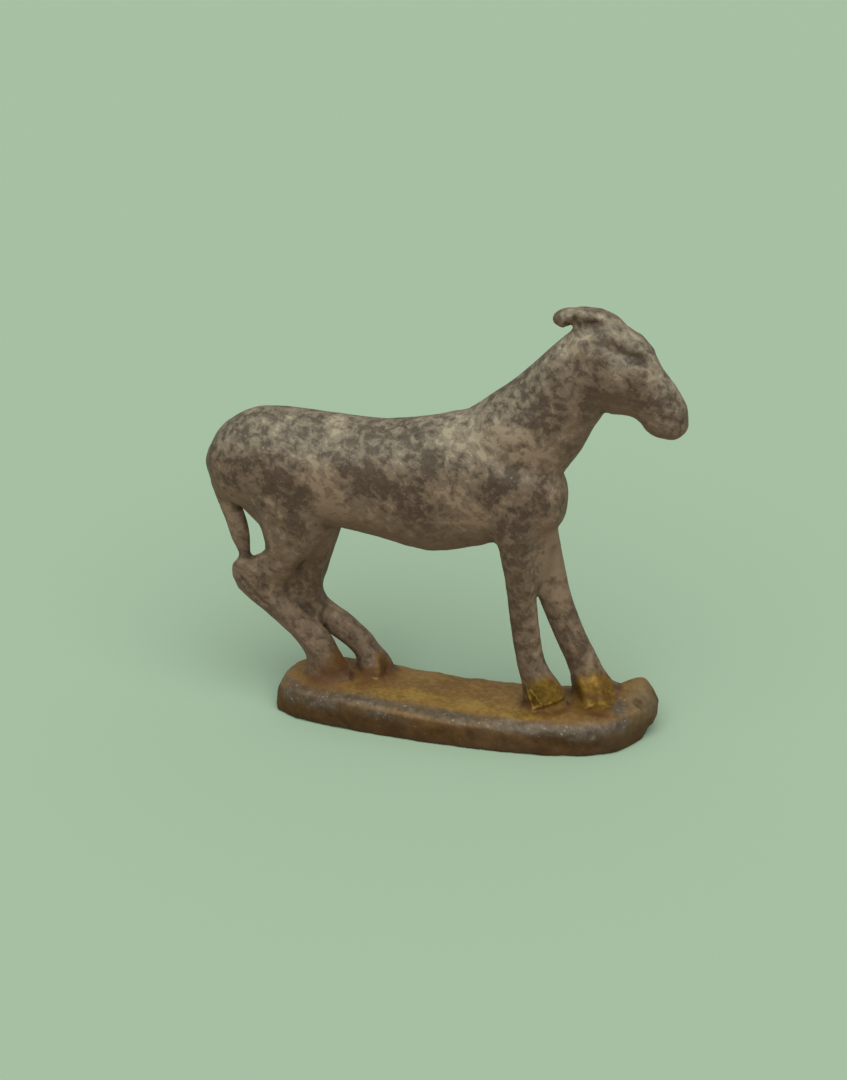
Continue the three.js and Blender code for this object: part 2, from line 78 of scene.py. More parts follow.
# Solder run in between the legs, under the chest and the tail and round the far feet, as runs of
# (place, radius), how close its beads lie, as a share of their radius, and how finely a bead is rounded.
FILLETS = (
    (((8.6, 0.0, 29.0), 2.1), ((9.0, 0.0, 25.0), 1.9), ((9.2, 0.0, 21.5), 1.4), ((9.4, 0.0, 19.0), 0.8),
     ((9.5, 0.0, 17.8), 0.4)),
    (((7.4, 0.0, 29.0), 1.9), ((7.8, 0.0, 23.0), 1.4), ((8.6, 0.0, 18.6), 0.5)),
    (((9.4, -1.5, 30.0), 1.8), ((10.2, 0.4, 25.6), 1.5)),
    (((-17.6, -0.6, 26.0), 2.4), ((-18.8, -0.3, 22.5), 2.1), ((-19.9, -0.1, 19.0), 1.7),
     ((-19.8, 0.0, 15.8), 1.5), ((-19.0, 0.0, 13.2), 1.1), ((-17.8, 0.0, 11.0), 0.5)),
    (((-21.2, -0.4, 21.0), 1.8), ((-21.2, -0.4, 16.5), 1.5), ((-20.4, -0.2, 13.0), 1.0),
     ((-18.6, -0.2, 10.8), 0.5)),
    (((-17.2, 0.5, 25.0), 1.6), ((-18.2, 0.5, 21.0), 1.3), ((-18.9, 0.5, 17.5), 1.0),
     ((-18.6, 0.4, 14.8), 0.8)),
    (((-22.2, 0.2, 26.0), 1.9), ((-22.8, 0.2, 21.5), 1.4), ((-22.3, 0.1, 18.0), 0.6)),
    (((-26.4, 0.0, 26.0), 1.0), ((-25.5, 0.0, 24.6), 1.0), ((-24.6, 0.0, 23.2), 1.0)),
    (((14.8, 0.6, 6.8), 1.2), ((15.6, -0.3, 5.2), 0.9)),
    (((16.2, 0.6, 6.8), 1.2), ((17.2, -0.1, 5.2), 0.9)),
    (((17.6, 2.6, 6.0), 0.8), ((18.9, 3.2, 5.2), 0.8), ((20.4, 4.0, 5.0), 0.8)),
    (((-12.4, 0.7, 6.4), 1.2), ((-12.0, -0.6, 5.0), 1.1)),
    (((-11.3, 0.6, 6.6), 1.2), ((-10.8, -0.9, 4.9), 1.1)),
)
BEAD_STEP = 0.3
BEAD_ROUNDNESS = 2

# Joins that flow into each other without a crease, as (place, reach): those worn soft and those filled up.
SOFTENING = 60
SOFTENED = (
    ((9.6, -3.8, 31.0), (2.2, 1.8, 4.0)), ((10.2, 3.6, 31.0), (2.0, 1.8, 4.0)),
    ((-15.6, -4.2, 26.0), (2.0, 1.6, 2.6)), ((-15.6, 4.2, 26.0), (2.0, 1.6, 2.6)),
    ((-28.7, -1.6, 18.9), (1.2, 1.6, 1.2)), ((12.0, -1.9, 8.7), (1.2, 1.6, 1.2)),
    ((17.3, 1.9, 8.0), (1.2, 1.6, 1.2)), ((-14.6, -1.9, 8.0), (1.2, 1.6, 1.2)),
    ((-11.0, 1.9, 7.3), (1.2, 1.6, 1.2)), ((25.6, 0.0, 40.6), (1.6, 2.0, 1.4)),
    ((24.2, -1.5, 44.7), (0.8, 0.8, 0.8)), ((24.2, 1.5, 44.7), (0.8, 0.8, 0.8)),
    ((20.2, -2.6, 50.0), (1.5, 0.9, 0.8)), ((20.2, 2.6, 50.0), (1.5, 0.9, 0.8)),
    ((18.4, -2.2, 52.0), (2.0, 1.0, 1.0)), ((18.4, 2.2, 52.0), (2.0, 1.0, 1.0)),
)
FILLING = 220
FILLED = (
    # Between the fore legs and under the chest.
    ((9.4, -0.6, 24.0), (2.0, 2.4, 4.6)), ((10.4, -0.8, 28.0), (2.2, 2.6, 3.0)),
    ((9.8, -3.4, 32.0), (2.0, 2.0, 4.0)), ((7.2, 0.6, 24.0), (2.0, 2.4, 5.0)),
    # Between the hind legs.
    ((-18.8, -0.8, 21.0), (2.6, 2.4, 5.0)), ((-19.6, -0.6, 14.6), (2.4, 1.8, 3.4)),
    ((-22.6, 0.8, 22.0), (2.2, 2.4, 4.0)), ((-17.4, 0.6, 19.0), (1.8, 1.6, 5.0)),
    ((-17.8, 0.4, 14.5), (1.8, 1.4, 2.5)),
    # The root of the tail and the web below it.
    ((-29.6, 0.0, 28.0), (2.2, 3.0, 2.2)), ((-25.6, 0.0, 25.2), (1.4, 2.4, 1.6)),
    # The feet and the bar's stub.
    ((-16.8, -2.2, 4.8), (3.4, 2.6, 0.9)), ((-11.6, 1.6, 4.8), (3.0, 2.6, 0.9)),
    ((-11.4, -0.4, 6.0), (2.4, 2.2, 2.2)), ((15.8, 0.0, 6.0), (2.6, 1.8, 2.2)),
    ((19.2, 2.9, 5.8), (2.0, 2.2, 1.6)), ((22.8, 0.8, 2.4), (1.6, 3.6, 1.8)),
    ((22.6, 1.6, 1.4), (1.4, 2.4, 1.4)),
    # The throat.
    ((15.4, -2.7, 46.8), (1.5, 1.4, 2.8)), ((15.4, 2.7, 46.8), (1.5, 1.4, 2.8)),
)

# Forms of the head on the near side, as (path, height, width). The far side repeats them.
HEAD_STROKES = (
    # The ear: its curled tip parted from the strap beside it, its rolled edge and the hollow below.
    (((11.7, -1.0, 54.0), (11.8, -0.9, 52.9)), -0.2, 0.34),
    (((12.1, -1.1, 53.9), (12.9, -0.9, 52.7)), 0.18, 0.4),
    (((13.4, -0.9, 53.2), (13.5, -0.8, 52.9)), -0.12, 0.3),
    (((12.9, -1.2, 53.9), (14.3, -1.5, 53.6), (16.0, -1.4, 53.8)), -0.18, 0.45),
    (((13.3, -0.8, 54.7), (15.5, -0.8, 54.6)), 0.12, 0.45),
    # The ridge from the ear down to the brow and the knob of the brow.
    (((16.7, -1.4, 53.7), (18.1, -2.1, 52.4), (19.3, -1.9, 51.9)), 0.08, 0.8),
    (((20.0, -1.3, 51.5), (20.9, -1.4, 50.9), (21.5, -1.3, 50.2)), 0.22, 0.6),
    # The half-closed eye in the shade of the brow, its lower lid and the hollow of the temple.
    (((18.3, -2.6, 51.0), (19.8, -2.3, 50.4), (21.2, -1.9, 49.7)), -0.22, 0.66),
    (((19.4, -2.9, 50.1), (20.4, -2.6, 49.9), (21.3, -2.1, 49.4)), -0.07, 0.28),
    (((16.4, -2.7, 51.7), (17.3, -2.7, 51.2)), -0.18, 0.9),
    # The edge of the jowl's underside.
    (((16.2, -2.95, 46.2), (18.7, -3.4, 46.8), (20.6, -3.0, 46.5)), 0.08, 0.5),
    # The muzzle: the fold round the nostril and the line of the mouth.
    (((23.7, -1.5, 46.3), (24.8, -1.4, 44.9), (24.4, -2.1, 43.8)), 0.1, 0.32),
    (((25.4, -1.5, 42.6), (24.4, -2.1, 42.8), (23.2, -2.3, 43.3)), -0.07, 0.3),
)

# Forms of the legs and the bar, each where it is.
BODY_STROKES = (
    # The tendon of the near hind leg and the groove behind it.
    (((-26.2, -3.6, 18.6), (-22.5, -3.5, 13.85), (-18.0, -3.6, 8.4)), 0.2, 0.42),
    (((-27.2, -3.5, 17.7), (-24.3, -3.6, 14.6)), -0.16, 0.36),
    # The valley between the hind legs and the round front edge of the far one.
    (((-19.6, -2.6, 20.0), (-20.3, -1.4, 17.0), (-20.3, -1.2, 14.6), (-19.4, -1.2, 12.6)), -0.26, 0.8),
    (((-17.0, 0.2, 22.3), (-17.8, 0.2, 19.5), (-18.8, 0.0, 17.1), (-19.2, -0.2, 14.9), (-18.2, -0.1, 13.1)),
     0.2, 0.7),
    # The edges of the near fore hoof's corner, its sole's lip and the crease below.
    (((8.7, -3.2, 7.1), (9.5, -3.6, 4.6)), 0.06, 0.26),
    (((9.1, -3.4, 7.1), (10.5, -3.65, 5.5)), 0.07, 0.3),
    (((9.9, -3.6, 4.9), (11.6, -3.3, 5.5), (12.9, -2.3, 5.95)), 0.1, 0.24),
    (((9.9, -3.85, 4.4), (11.6, -3.4, 5.05), (13.1, -2.3, 5.5)), -0.2, 0.26),
    (((11.2, -3.7, 4.6), (12.2, -3.3, 4.8), (13.3, -2.5, 5.0)), -0.22, 0.42),
    # The far fore hoof's facets and sole.
    (((15.7, -1.2, 5.0), (16.8, -0.3, 5.1), (18.2, 0.9, 5.3), (19.2, 1.9, 5.4)), 0.1, 0.24),
    (((15.6, -1.9, 4.5), (16.8, -0.75, 4.6), (18.0, 0.5, 4.7), (19.4, 1.9, 4.85)), -0.2, 0.26),
    (((15.4, 0.0, 7.2), (16.6, -0.2, 5.4)), 0.08, 0.3),
    (((17.2, 0.3, 7.0), (18.3, 1.1, 5.4)), 0.08, 0.3),
    # The dent in the bar's stub, its lip and the stub's edges.
    (((21.2, 0.8, 5.1), (22.2, 0.6, 4.3)), -0.4, 0.36),
    (((21.6, 1.3, 5.3), (22.5, 1.0, 4.6)), 0.14, 0.35),
    (((20.2, 4.6, 5.9), (21.6, 5.0, 5.7)), 0.2, 0.6),
    (((22.4, 4.2, 5.2), (23.3, 4.2, 3.8)), 0.15, 0.5),
    (((21.9, 2.9, 5.7), (22.9, 1.8, 4.9), (22.9, 0.4, 4.2)), 0.2, 0.5),
)

# The bar's near upper edge, which is rounded, the band rubbed bare just below it, and other bare places as
# (place, reach).
RIM = ((-21.8, -2.6, 3.6), (-20.0, -4.5, 3.8), (-16.4, -5.5, 4.0), (-9.5, -5.7, 3.9), (-4.2, -5.8, 3.7),
       (1.9, -6.1, 3.5), (8.6, -6.2, 3.6), (13.7, -5.8, 3.6), (18.4, -4.4, 3.7), (20.4, -3.0, 3.7))
RIM_WIDTH = 1.15
RIM_ROUNDING = 160
BAND_DROP = 0.2
BAND_WIDTH = 1.25
BARE_SPOTS = (
    ((-20.6, -4.8, 3.2), (2.2, 1.8, 1.6)),
    ((-16.5, -5.8, 3.0), (4.5, 1.6, 1.4)),
    ((-8.5, -6.0, 2.8), (5.0, 1.5, 1.0)),
    ((16.0, -5.4, 2.7), (4.0, 1.5, 1.0)),
    ((20.4, -2.4, 3.4), (1.2, 1.8, 1.8)),
    ((19.6, -0.8, 4.7), (1.3, 3.0, 1.3)),
)

# The stub at the bar's end, as (place, reach).
STUB = ((21.9, 1.6, 4.6), (2.2, 3.6, 2.2))

# The mould's flash, a low ragged fin along the middle of the animal.
FLASH_RISE = 0.12
FLASH_WIDTH = 0.22
FLASH_LOWEST = 30.0
FLASH_FADE = 3.0
FLASH_MEAN = 0.6
FLASH_SWING = 0.5
FLASH_LUMPS = 2.4
FLASH_SEED = 3

# Small unevenness of the cast surface, as (size of the lumps, height on the animal, height on the bar), and
# how far each seed moves its noise along each axis.
RELIEF = ((2.6, 0.05, 0.14), (1.1, 0.03, 0.085), (0.5, 0.014, 0.034))
RELIEF_SEED = 11
SEED_SHIFT = (17.3, 5.1, 9.7)

# Where the chalky bloom lies on the near flank and where it is gone, as (x, z), (half width, half height)
# and strength. Some patches are painted light and shade instead: the dark socket of the eye, the dark back
# edge and light front strip of the near fore leg, the dark between the hind legs and the lit front of the
# far thigh. A patch fades out where the surface turns away from the near side.
PATCH_FALL = 0.7
FACING_NEAR = (-0.5, 0.1)
FLANK_PATCHES = (
    # The rump.
    ((-21.6, 31.8), (1.8, 1.3), -1.0), ((-18.7, 30.4), (1.4, 0.9), -1.1), ((-19.9, 27.6), (1.1, 2.0), -0.9),
    ((-27.6, 31.0), (2.2, 1.4), -0.2), ((-25.0, 35.6), (4.6, 2.6), -0.4), ((-18.7, 35.4), (1.1, 0.8), 0.9),
    ((-22.6, 29.1), (0.8, 0.5), 1.1), ((-21.3, 27.7), (0.6, 0.7), 1.0), ((-16.3, 35.5), (1.0, 0.6), -1.2),
    ((-24.6, 31.2), (0.9, 0.9), 0.7),
    ((-15.8, 32.6), (1.5, 3.2), 1.2), ((-15.8, 28.8), (1.5, 1.8), 0.8), ((-15.0, 37.9), (1.0, 1.2), 0.7),
    # The barrel.
    ((-13.5, 35.0), (1.0, 1.3), -0.8), ((-10.8, 33.8), (1.5, 1.4), -0.7), ((-7.4, 32.2), (2.2, 1.2), -1.1),
    ((-7.8, 34.1), (0.6, 0.8), 0.8), ((-10.8, 40.2), (1.8, 1.2), 0.6), ((-9.2, 38.6), (1.8, 1.4), -0.4),
    ((-5.2, 38.0), (1.4, 1.6), -0.5), ((-3.0, 36.2), (1.0, 1.6), -1.0), ((-12.4, 28.4), (2.2, 1.4), 0.9),
    ((-8.4, 28.6), (1.4, 1.2), 0.6), ((-3.9, 29.7), (1.0, 1.1), -0.9), ((-6.0, 28.8), (0.7, 1.2), -0.7),
    ((-0.6, 30.1), (0.6, 1.5), -0.7), ((-1.2, 26.6), (2.4, 0.7), -0.6), ((-2.0, 31.9), (1.0, 1.2), 0.7),
    # The shoulder and chest.
    ((4.2, 33.2), (1.2, 1.6), -1.0), ((6.8, 35.5), (0.9, 1.3), -1.0), ((5.3, 34.4), (1.2, 0.7), -0.9),
    ((9.6, 33.8), (0.9, 0.9), -1.0), ((8.8, 31.3), (1.1, 1.0), -0.9), ((10.4, 31.5), (0.7, 0.7), -0.9),
    ((5.8, 29.5), (1.1, 0.7), -1.0), ((7.7, 28.8), (0.9, 0.9), -0.9), ((7.3, 26.4), (0.9, 1.3), -0.8),
    ((1.6, 38.6), (4.4, 2.2), 0.9), ((0.7, 31.4), (1.6, 2.4), 1.2), ((8.5, 37.2), (1.6, 1.4), 0.9),
    ((8.0, 33.6), (0.9, 0.7), 1.1), ((5.5, 31.9), (0.8, 1.0), 1.0), ((11.8, 33.8), (1.0, 2.4), 1.0),
    ((2.8, 29.2), (1.6, 1.1), 0.8), ((10.6, 28.0), (1.0, 1.8), 0.9), ((3.9, 37.9), (0.5, 0.3), -1.4),
    ((8.0, 39.0), (0.5, 0.3), -1.4),
    # The neck.
    ((10.0, 43.9), (2.8, 1.9), -0.6), ((10.4, 41.2), (1.4, 1.0), -0.8), ((13.5, 47.8), (0.6, 0.8), -1.0),
    ((15.8, 48.5), (0.4, 1.5), -1.0), ((13.0, 38.0), (1.0, 1.0), -0.9), ((13.3, 51.0), (1.8, 1.4), 0.8),
    ((13.7, 45.6), (1.0, 1.4), 0.6), ((6.1, 39.6), (2.2, 1.3), 0.9), ((9.6, 38.4), (1.8, 1.2), 0.9),
    ((12.6, 40.4), (0.9, 0.9), 0.6),
    # The head. The patch at x 20.0 darkens the eye's socket as painted shade under the brow.
    ((16.5, 51.6), (0.9, 0.8), -1.0), ((20.0, 50.3), (1.5, 0.6), -1.2), ((17.6, 45.5), (3.2, 1.3), -0.8),
    ((15.8, 44.8), (1.2, 1.4), -0.8), ((24.3, 44.4), (1.6, 2.0), -0.4), ((18.6, 48.8), (3.0, 1.1), 0.6),
    ((18.8, 52.9), (2.2, 1.0), 0.6), ((22.6, 42.2), (1.2, 0.8), 0.8),
    # The legs and the tail. Painted shade and light among them: the near fore leg's dark back edge at x 7.3
    # and light front strip at x 10.0, the shade between the hind legs at x -18.6 and -18.4, and the lit
    # front of the far thigh at x -15.6.
    ((7.3, 19.6), (1.0, 6.1), -0.7), ((10.0, 18.3), (0.7, 5.9), 1.5), ((13.4, 11.5), (1.4, 3.6), -0.6),
    ((10.4, 24.0), (0.9, 2.4), 1.3), ((11.9, 18.4), (1.0, 0.7), 2.0), ((11.4, 23.1), (1.0, 3.8), 1.4),
    ((10.6, 19.6), (0.5, 1.2), -1.6), ((15.4, 9.6), (0.4, 1.6), 1.6),
    ((-26.2, 18.6), (0.9, 0.9), 1.0), ((-22.5, 17.5), (1.6, 3.0), 0.5), ((-21.6, 23.9), (1.3, 1.8), 0.8),
    ((-18.6, 20.0), (1.2, 1.5), -0.8), ((-18.4, 16.0), (1.0, 3.0), -1.2), ((-16.8, 12.0), (0.9, 0.6), 1.0),
    ((-15.6, 21.5), (1.5, 4.0), 2.0), ((-28.4, 25.0), (1.8, 4.8), 1.1),
)

# Where each cover starts and where it is full: by height, by how far the surface faces up or down, and by
# how deep it lies below what is round it. The depth is taken over some rounds of neighbours and evened out.
# The cover facing up makes the tops paler, partly as painted light from above. The cover facing down is
# painted light from below, and the depth darkens the hollows as painted shade.
CROWN_HEIGHT = (32.0, 36.0)
LIMB_HEIGHT = (22.0, 28.0)
BAR_FOOT = (0.0, 3.2)
FACING_SKY = (-0.05, 0.6)
FACING_FLOOR = (0.0, 0.8)
BAR_TOP = (0.4, 0.8)
HOLLOW_DEPTH = (0.004, 0.02)
HOLLOW_REACH = 4
HOLLOW_EVENING = 2

# Noise that breaks up the covers: (size of the lumps, detail, roughness, shift, curl).
NOISES = {
    "broad": (7.0, 2.0, 0.5, 0.0, 0.0),
    "flake": (3.0, 3.0, 0.6, 31.0, 0.2),
    "fleck": (1.1, 4.0, 0.68, 19.0, 0.3),
    "grain": (0.6, 3.0, 0.6, 57.0, 0.0),
    "crumb": (0.3, 2.0, 0.5, 83.0, 0.0),
}

# Surfaces of two tones: the dark one, the light one, the noise that parts them, where the light one starts
# and where it is full.
TONES = {
    "bare_side": ((77, 63, 51), (87, 73, 59), {"grain": 0.6, "crumb": 0.4}, 0.44, 0.6),
    # The tone for what faces up is paler and greyer than the side's, partly as painted light from above.
    "bare_top": ((87, 80, 68), (98, 91, 77), {"grain": 0.6, "crumb": 0.4}, 0.44, 0.6),
    "limb": ((88, 72, 56), (126, 107, 84), {"fleck": 0.5, "grain": 0.5}, 0.38, 0.62),
    "bar_side": ((62, 41, 17), (96, 70, 34), {"flake": 0.6, "fleck": 0.4}, 0.34, 0.66),
    "bar_top": ((114, 86, 44), (140, 112, 62), {"broad": 0.5, "grain": 0.5}, 0.38, 0.62),
    "stub": ((82, 70, 48), (116, 104, 78), {"flake": 0.6, "fleck": 0.4}, 0.34, 0.66),
    "leaf": ((126, 98, 42), (164, 134, 64), {"flake": 0.5, "grain": 0.5}, 0.36, 0.64),
    "gold": ((82, 60, 17), (130, 101, 40), {"flake": 0.5, "grain": 0.5}, 0.36, 0.64),
    "metal": ((80, 72, 60), (104, 97, 84), {"fleck": 0.5, "grain": 0.5}, 0.36, 0.64),
}

# Thin colours laid over a surface: the colour and how much of it shows. Besides stains and dirt they hold
# painted light and shade: the lighter undersides are painted light from below, the dark hollows painted
# shade, the flash's tint partly painted edge shade, the reddish dirt partly painted contact shade, the
# bright gold on the hooves partly a painted highlight, and the pale specks and sparks painted highlights
# where strong. Another darkens the bar's sides towards the bottom.
STAINS_AND_PAINTED_LIGHT = {
    "under": ((130, 108, 86), 0.7),
    "fin": ((134, 110, 93), 0.6),
    "hollow": ((56, 45, 35), 0.6),
    "pit": ((56, 47, 38), 0.45),
    "grey_patch": ((100, 86, 66), 0.35),
    "low": ((62, 43, 22), 0.5),
    "gold_fleck": ((150, 116, 58), 1.0),
    "grime_and_contact_shade": ((84, 54, 25), 0.95),
    "glint": ((182, 147, 72), 1.0),
    "speck": ((168, 159, 136), 1.0),
    "sparkle_highlight": ((150, 145, 130), 1.0),
}

# Small marks that noise alone scatters: the noise, where it starts to show and where it is full. The sparks
# are painted highlights on rubbed metal, and the pale specks are painted highlights where they are strong.
MARKS = {
    "grey_patch": ({"broad": 1.0}, 0.5, 0.7),
    "gold_fleck": ({"grain": 0.5, "fleck": 0.5}, 0.66, 0.7),
    "speck": ({"crumb": 1.0}, 0.68, 0.75),
    "sparkle_highlight": ({"grain": 0.5, "crumb": 0.5}, 0.6, 0.68),
}

# How strongly the pale specks show on the sides, on what faces up and on rubbed metal: weak on the sides,
# where they are pale flecks, and strong as painted highlights on what faces up and on rubbed metal.
SPECKS = {"side": 0.2, "crown": 0.7, "rubbed": 0.9}

# Ragged edges of the covers: the noise added to each cover, where the sum starts to show and where it is
# full.
EDGES = {
    "bar_gold": ({"flake": 0.8, "grain": 0.4}, 0.9, 1.7),
    "bar": ({"grain": 0.3}, 0.5, 0.8),
    "gilt": ({"flake": 0.6, "grain": 0.3}, 0.74, 1.15),
    "rubbed": ({"flake": 0.5, "grain": 0.2}, 0.65, 1.4),
    "glint": ({"flake": 0.6, "grain": 1.2}, 1.45, 2.2),
}

# The thickness of the patina: the weight of the laid-on bloom and of each noise.
BLOOM_WEIGHT = 0.23
PATINA_NOISE = {"broad": 0.2, "flake": 0.35, "fleck": 1.6}

# The patina's tones from thin to thick: where each starts and how softly, its colour on the sides and on
# what faces up. The colour on what faces up is greener and paler, and its paleness is partly painted light
# from above.
PATINA = (
    (0.94, 0.05, (96, 82, 67), (109, 102, 87)),
    (1.04, 0.04, (110, 95, 78), (127, 119, 102)),
    (1.15, 0.05, (119, 103, 84), (139, 131, 112)),
    (1.28, 0.04, (137, 121, 99), (162, 154, 132)),
)

# How much of the plain limb tone shows on the legs and of the metal on the rubbed band.
LIMB_SHARE = 0.3
METAL_SHARE = 0.9

# Pits: the size of the cells, the share of them that hold a pit and how softly that share ends, and how far
# from its middle a pit starts and where it is full.
PIT_SIZE = 1.3
PIT_SHARE = 0.25
PIT_SOFTNESS = 0.05
PIT_EDGE = (0.3, 0.14)

# Roughness and metallic share of thin patina, thick patina, gold and rubbed metal, and the specular level.
ROUGHNESS = {"thin": 0.56, "thick": 0.76, "gold": 0.44, "rubbed": 0.4}
METALLIC = {"thin": 0.08, "thick": 0.0, "gold": 0.45, "rubbed": 0.28}
THICKENING = (0.95, 1.3)
SPECULAR = 0.24

# The fine bump: the weight of the patina, what else is in it, its strength and its depth.
BUMP_PATINA = 0.6
BUMP_NOISE = {"grain": 0.3, "crumb": 0.2}
BUMP_STRENGTH = 0.35
BUMP_DEPTH = 0.06

# How far the flecks slant down towards the head, and how many times as long as broad they are.
FLECK_SLANT = math.radians(35)
FLECK_STRETCH = 1.2

# Gold left on the feet, as (place, reach, strength), the paths of bright gold along the hooves' edges,
# partly rubbed bright and partly painted highlights, and the path where gold lies on the bar.
GILT_SPOTS = (
    ((10.8, -3.0, 6.2), (3.2, 2.4, 2.8), 1.0),
    ((16.5, -0.2, 5.6), (3.6, 2.8, 3.0), 1.1),
    ((-15.4, -2.6, 7.8), (1.3, 2.0, 2.6), 0.66),
    ((-10.4, 0.2, 6.2), (1.4, 1.8, 2.4), 0.74),
    ((17.2, 4.2, 5.4), (3.0, 1.8, 2.4), 0.9),
    ((-10.6, 4.2, 5.6), (1.8, 1.6, 2.2), 0.74),
)
GLINTS = (
    ((8.7, -3.2, 7.1), (9.5, -3.6, 4.7), (10.0, -3.6, 4.9)),
    ((9.1, -3.4, 7.1), (10.5, -3.65, 5.5)),
    ((9.9, -3.6, 4.9), (11.6, -3.3, 5.5), (12.9, -2.3, 5.95)),
    ((15.9, -0.9, 5.0), (16.9, -0.3, 5.1)),
    ((17.9, 0.8, 5.9), (18.5, 1.2, 5.3)),
    ((-11.3, -1.9, 5.2), (-10.5, -1.9, 5.1)),
)
GLINT_WIDTH = 0.3
GOLD_ON_BAR = ((-8.0, -3.7, 4.2), (-3.4, -3.2, 4.1), (0.6, -3.4, 4.0), (4.3, -3.6, 4.1), (9.0, -4.4, 4.2))
GOLD_WIDTH = 2.1

# Reddish grime that has gathered round the feet, as (place, reach), and how much of it lies along every
# join of a foot and the bar. Part of it is painted contact shade: the darkening along every join and the
# spot below the near fore hoof's lip.
JOIN_GRIME_AND_SHADE = 2.6
GRIME_AND_SHADE_SPOTS = (
    ((-14.8, -2.4, 6.6), (1.7, 2.2, 2.4)),
    ((-15.8, -3.3, 5.8), (2.3, 1.8, 1.8)),
    ((-17.2, -3.7, 4.8), (3.0, 2.0, 1.1)),
    ((-11.4, -1.2, 4.8), (2.2, 1.6, 1.2)),
    ((-9.4, 0.4, 5.6), (1.5, 1.8, 2.0)),
    ((17.3, -2.9, 4.5), (2.2, 0.9, 0.6)),
    ((21.7, 0.7, 4.7), (0.6, 0.4, 0.6)),
    ((12.2, -3.3, 4.6), (1.5, 0.7, 0.4)),
    ((-13.9, -1.9, 5.0), (0.8, 0.8, 0.8)),
)

# The photograph's view.
VIEW_AZIMUTH = 15.0
VIEW_ELEVATION = 25.0
VIEW_AIM = (-5.4, 1.2, 23.1)
VIEW_DISTANCE = 300.0
LENS = 83.0
SENSOR = 36.0
CLIP_START = 10.0

# The floor, as it is seen and as it throws light back, and the light.
FLOOR_HALF = 4000.0
FLOOR_SEEN = (167, 194, 169)
FLOOR_LIT = (160, 152, 140)
FLOOR_ROUGHNESS = 0.95
ROOM_COLOUR = (241, 239, 233)
ROOM_STRENGTH = 0.5
LAMP_STRENGTH = 2.2
LAMP_COLOUR = (1.0, 0.98, 0.955)
LAMP_SPREAD = math.radians(70)
LAMP_TOWARDS = (0.2, -0.72, 1.0)


class Skin:
    """The outside of the whole figure as one surface of four-sided faces."""

    def __init__(self, points, faces):
        self.points = points
        self.faces = faces
        sides = np.concatenate([faces[:, [i, (i + 1) % 4]] for i in range(4)])
        self.edges = np.unique(np.sort(sides, axis=1), axis=0)
        self.reach = np.bincount(self.edges.ravel(), minlength=len(points))

    def normals(self):
        """The outward direction at each point."""
        a, b, c, d = (self.points[self.faces[:, i]] for i in range(4))
        across = np.cross(c - a, d - b)
        total = np.stack([np.bincount(self.faces.ravel(), np.repeat(across[:, k], 4), len(self.points))
                          for k in range(3)], axis=1)
        return total / np.linalg.norm(total, axis=1, keepdims=True)

    def spread(self, values, rounds=1):
        """Each value replaced by the mean of its neighbours' values, a number of times."""
        start, end = self.edges.T
        for _ in range(rounds):
            sums = [np.bincount(start, column[end], len(column))
                    + np.bincount(end, column[start], len(column)) for column in values.T]
            values = np.stack(sums, axis=1) / self.reach[:, None]
        return values

    def soften(self, rounds, amount):
        """Draws each point towards its neighbours, by the given amount at each point."""
        for _ in range(rounds):
            self.points += SOFTEN_SHARE * amount[:, None] * (self.spread(self.points) - self.points)

    def fill(self, rounds, amount):
        """Raises the hollows towards what stands round them, by the given amount at each point."""
        for turn in range(rounds):
            if turn % NORMALS_EVERY == 0:
                normals = self.normals()
            rise = ((self.spread(self.points) - self.points) * normals).sum(axis=1)
            self.points += (FILL_SHARE * amount * np.maximum(rise, 0))[:, None] * normals

    def even(self, rounds, amount):
        """Softens the surface and then makes up for what its broad forms have lost."""
        before = self.points.copy()
        self.soften(rounds, amount)
        loss = ((before - self.points) * self.normals()).sum(axis=1, keepdims=True)
        self.push(self.spread(loss, rounds)[:, 0])

    def push(self, height):
        """Moves each point out along the surface's normal by its own height."""
        self.points += self.normals() * height[:, None]


def casting_solid(name):
    """One casting's closed surface in millimetres, as a bmesh whose corners are shared."""
    solid = bmesh.new()
    solid.from_mesh(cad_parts[name].data)
    bmesh.ops.scale(solid, vec=Vector((1, 1, 1)) / MM, verts=solid.verts)
    bmesh.ops.remove_doubles(solid, verts=solid.verts, dist=MM)
    solid.normal_update()
    return solid


def gather_castings():
    """All castings together: swollen points, true points, triangles, and the casting that owns each."""
    swollen, true, triangles, owners = [], [], [], []
    for number, name in enumerate(NODES):
        solid = casting_solid(name)
        first = len(true)
        true += [vertex.co.copy() for vertex in solid.verts]
        swollen += [vertex.co + vertex.normal * SEAM_SWELL for vertex in solid.verts]
        triangles += [[first + vertex.index for vertex in face.verts] for face in solid.faces]
        owners += [number] * len(solid.faces)
        solid.free()
    return swollen, true, triangles, np.array(owners)


def add_fillets(points, triangles):
    """Adds the solder between the legs as overlapping beads."""
    bead = bmesh.new()
    bmesh.ops.create_icosphere(bead, subdivisions=BEAD_ROUNDNESS, radius=1.0)
    for run in FILLETS:
        for (start, start_radius), (end, end_radius) in zip(run, run[1:]):
            start, end = Vector(start), Vector(end)
            count = math.ceil((end - start).length / (BEAD_STEP * min(start_radius, end_radius)))
            for share in np.linspace(0, 1, count + 1):
                centre = start.lerp(end, share)
                radius = start_radius + (end_radius - start_radius) * share
                first = len(points)
                points += [centre + vertex.co * radius for vertex in bead.verts]
                triangles += [[first + vertex.index for vertex in face.verts] for face in bead.faces]
    bead.free()


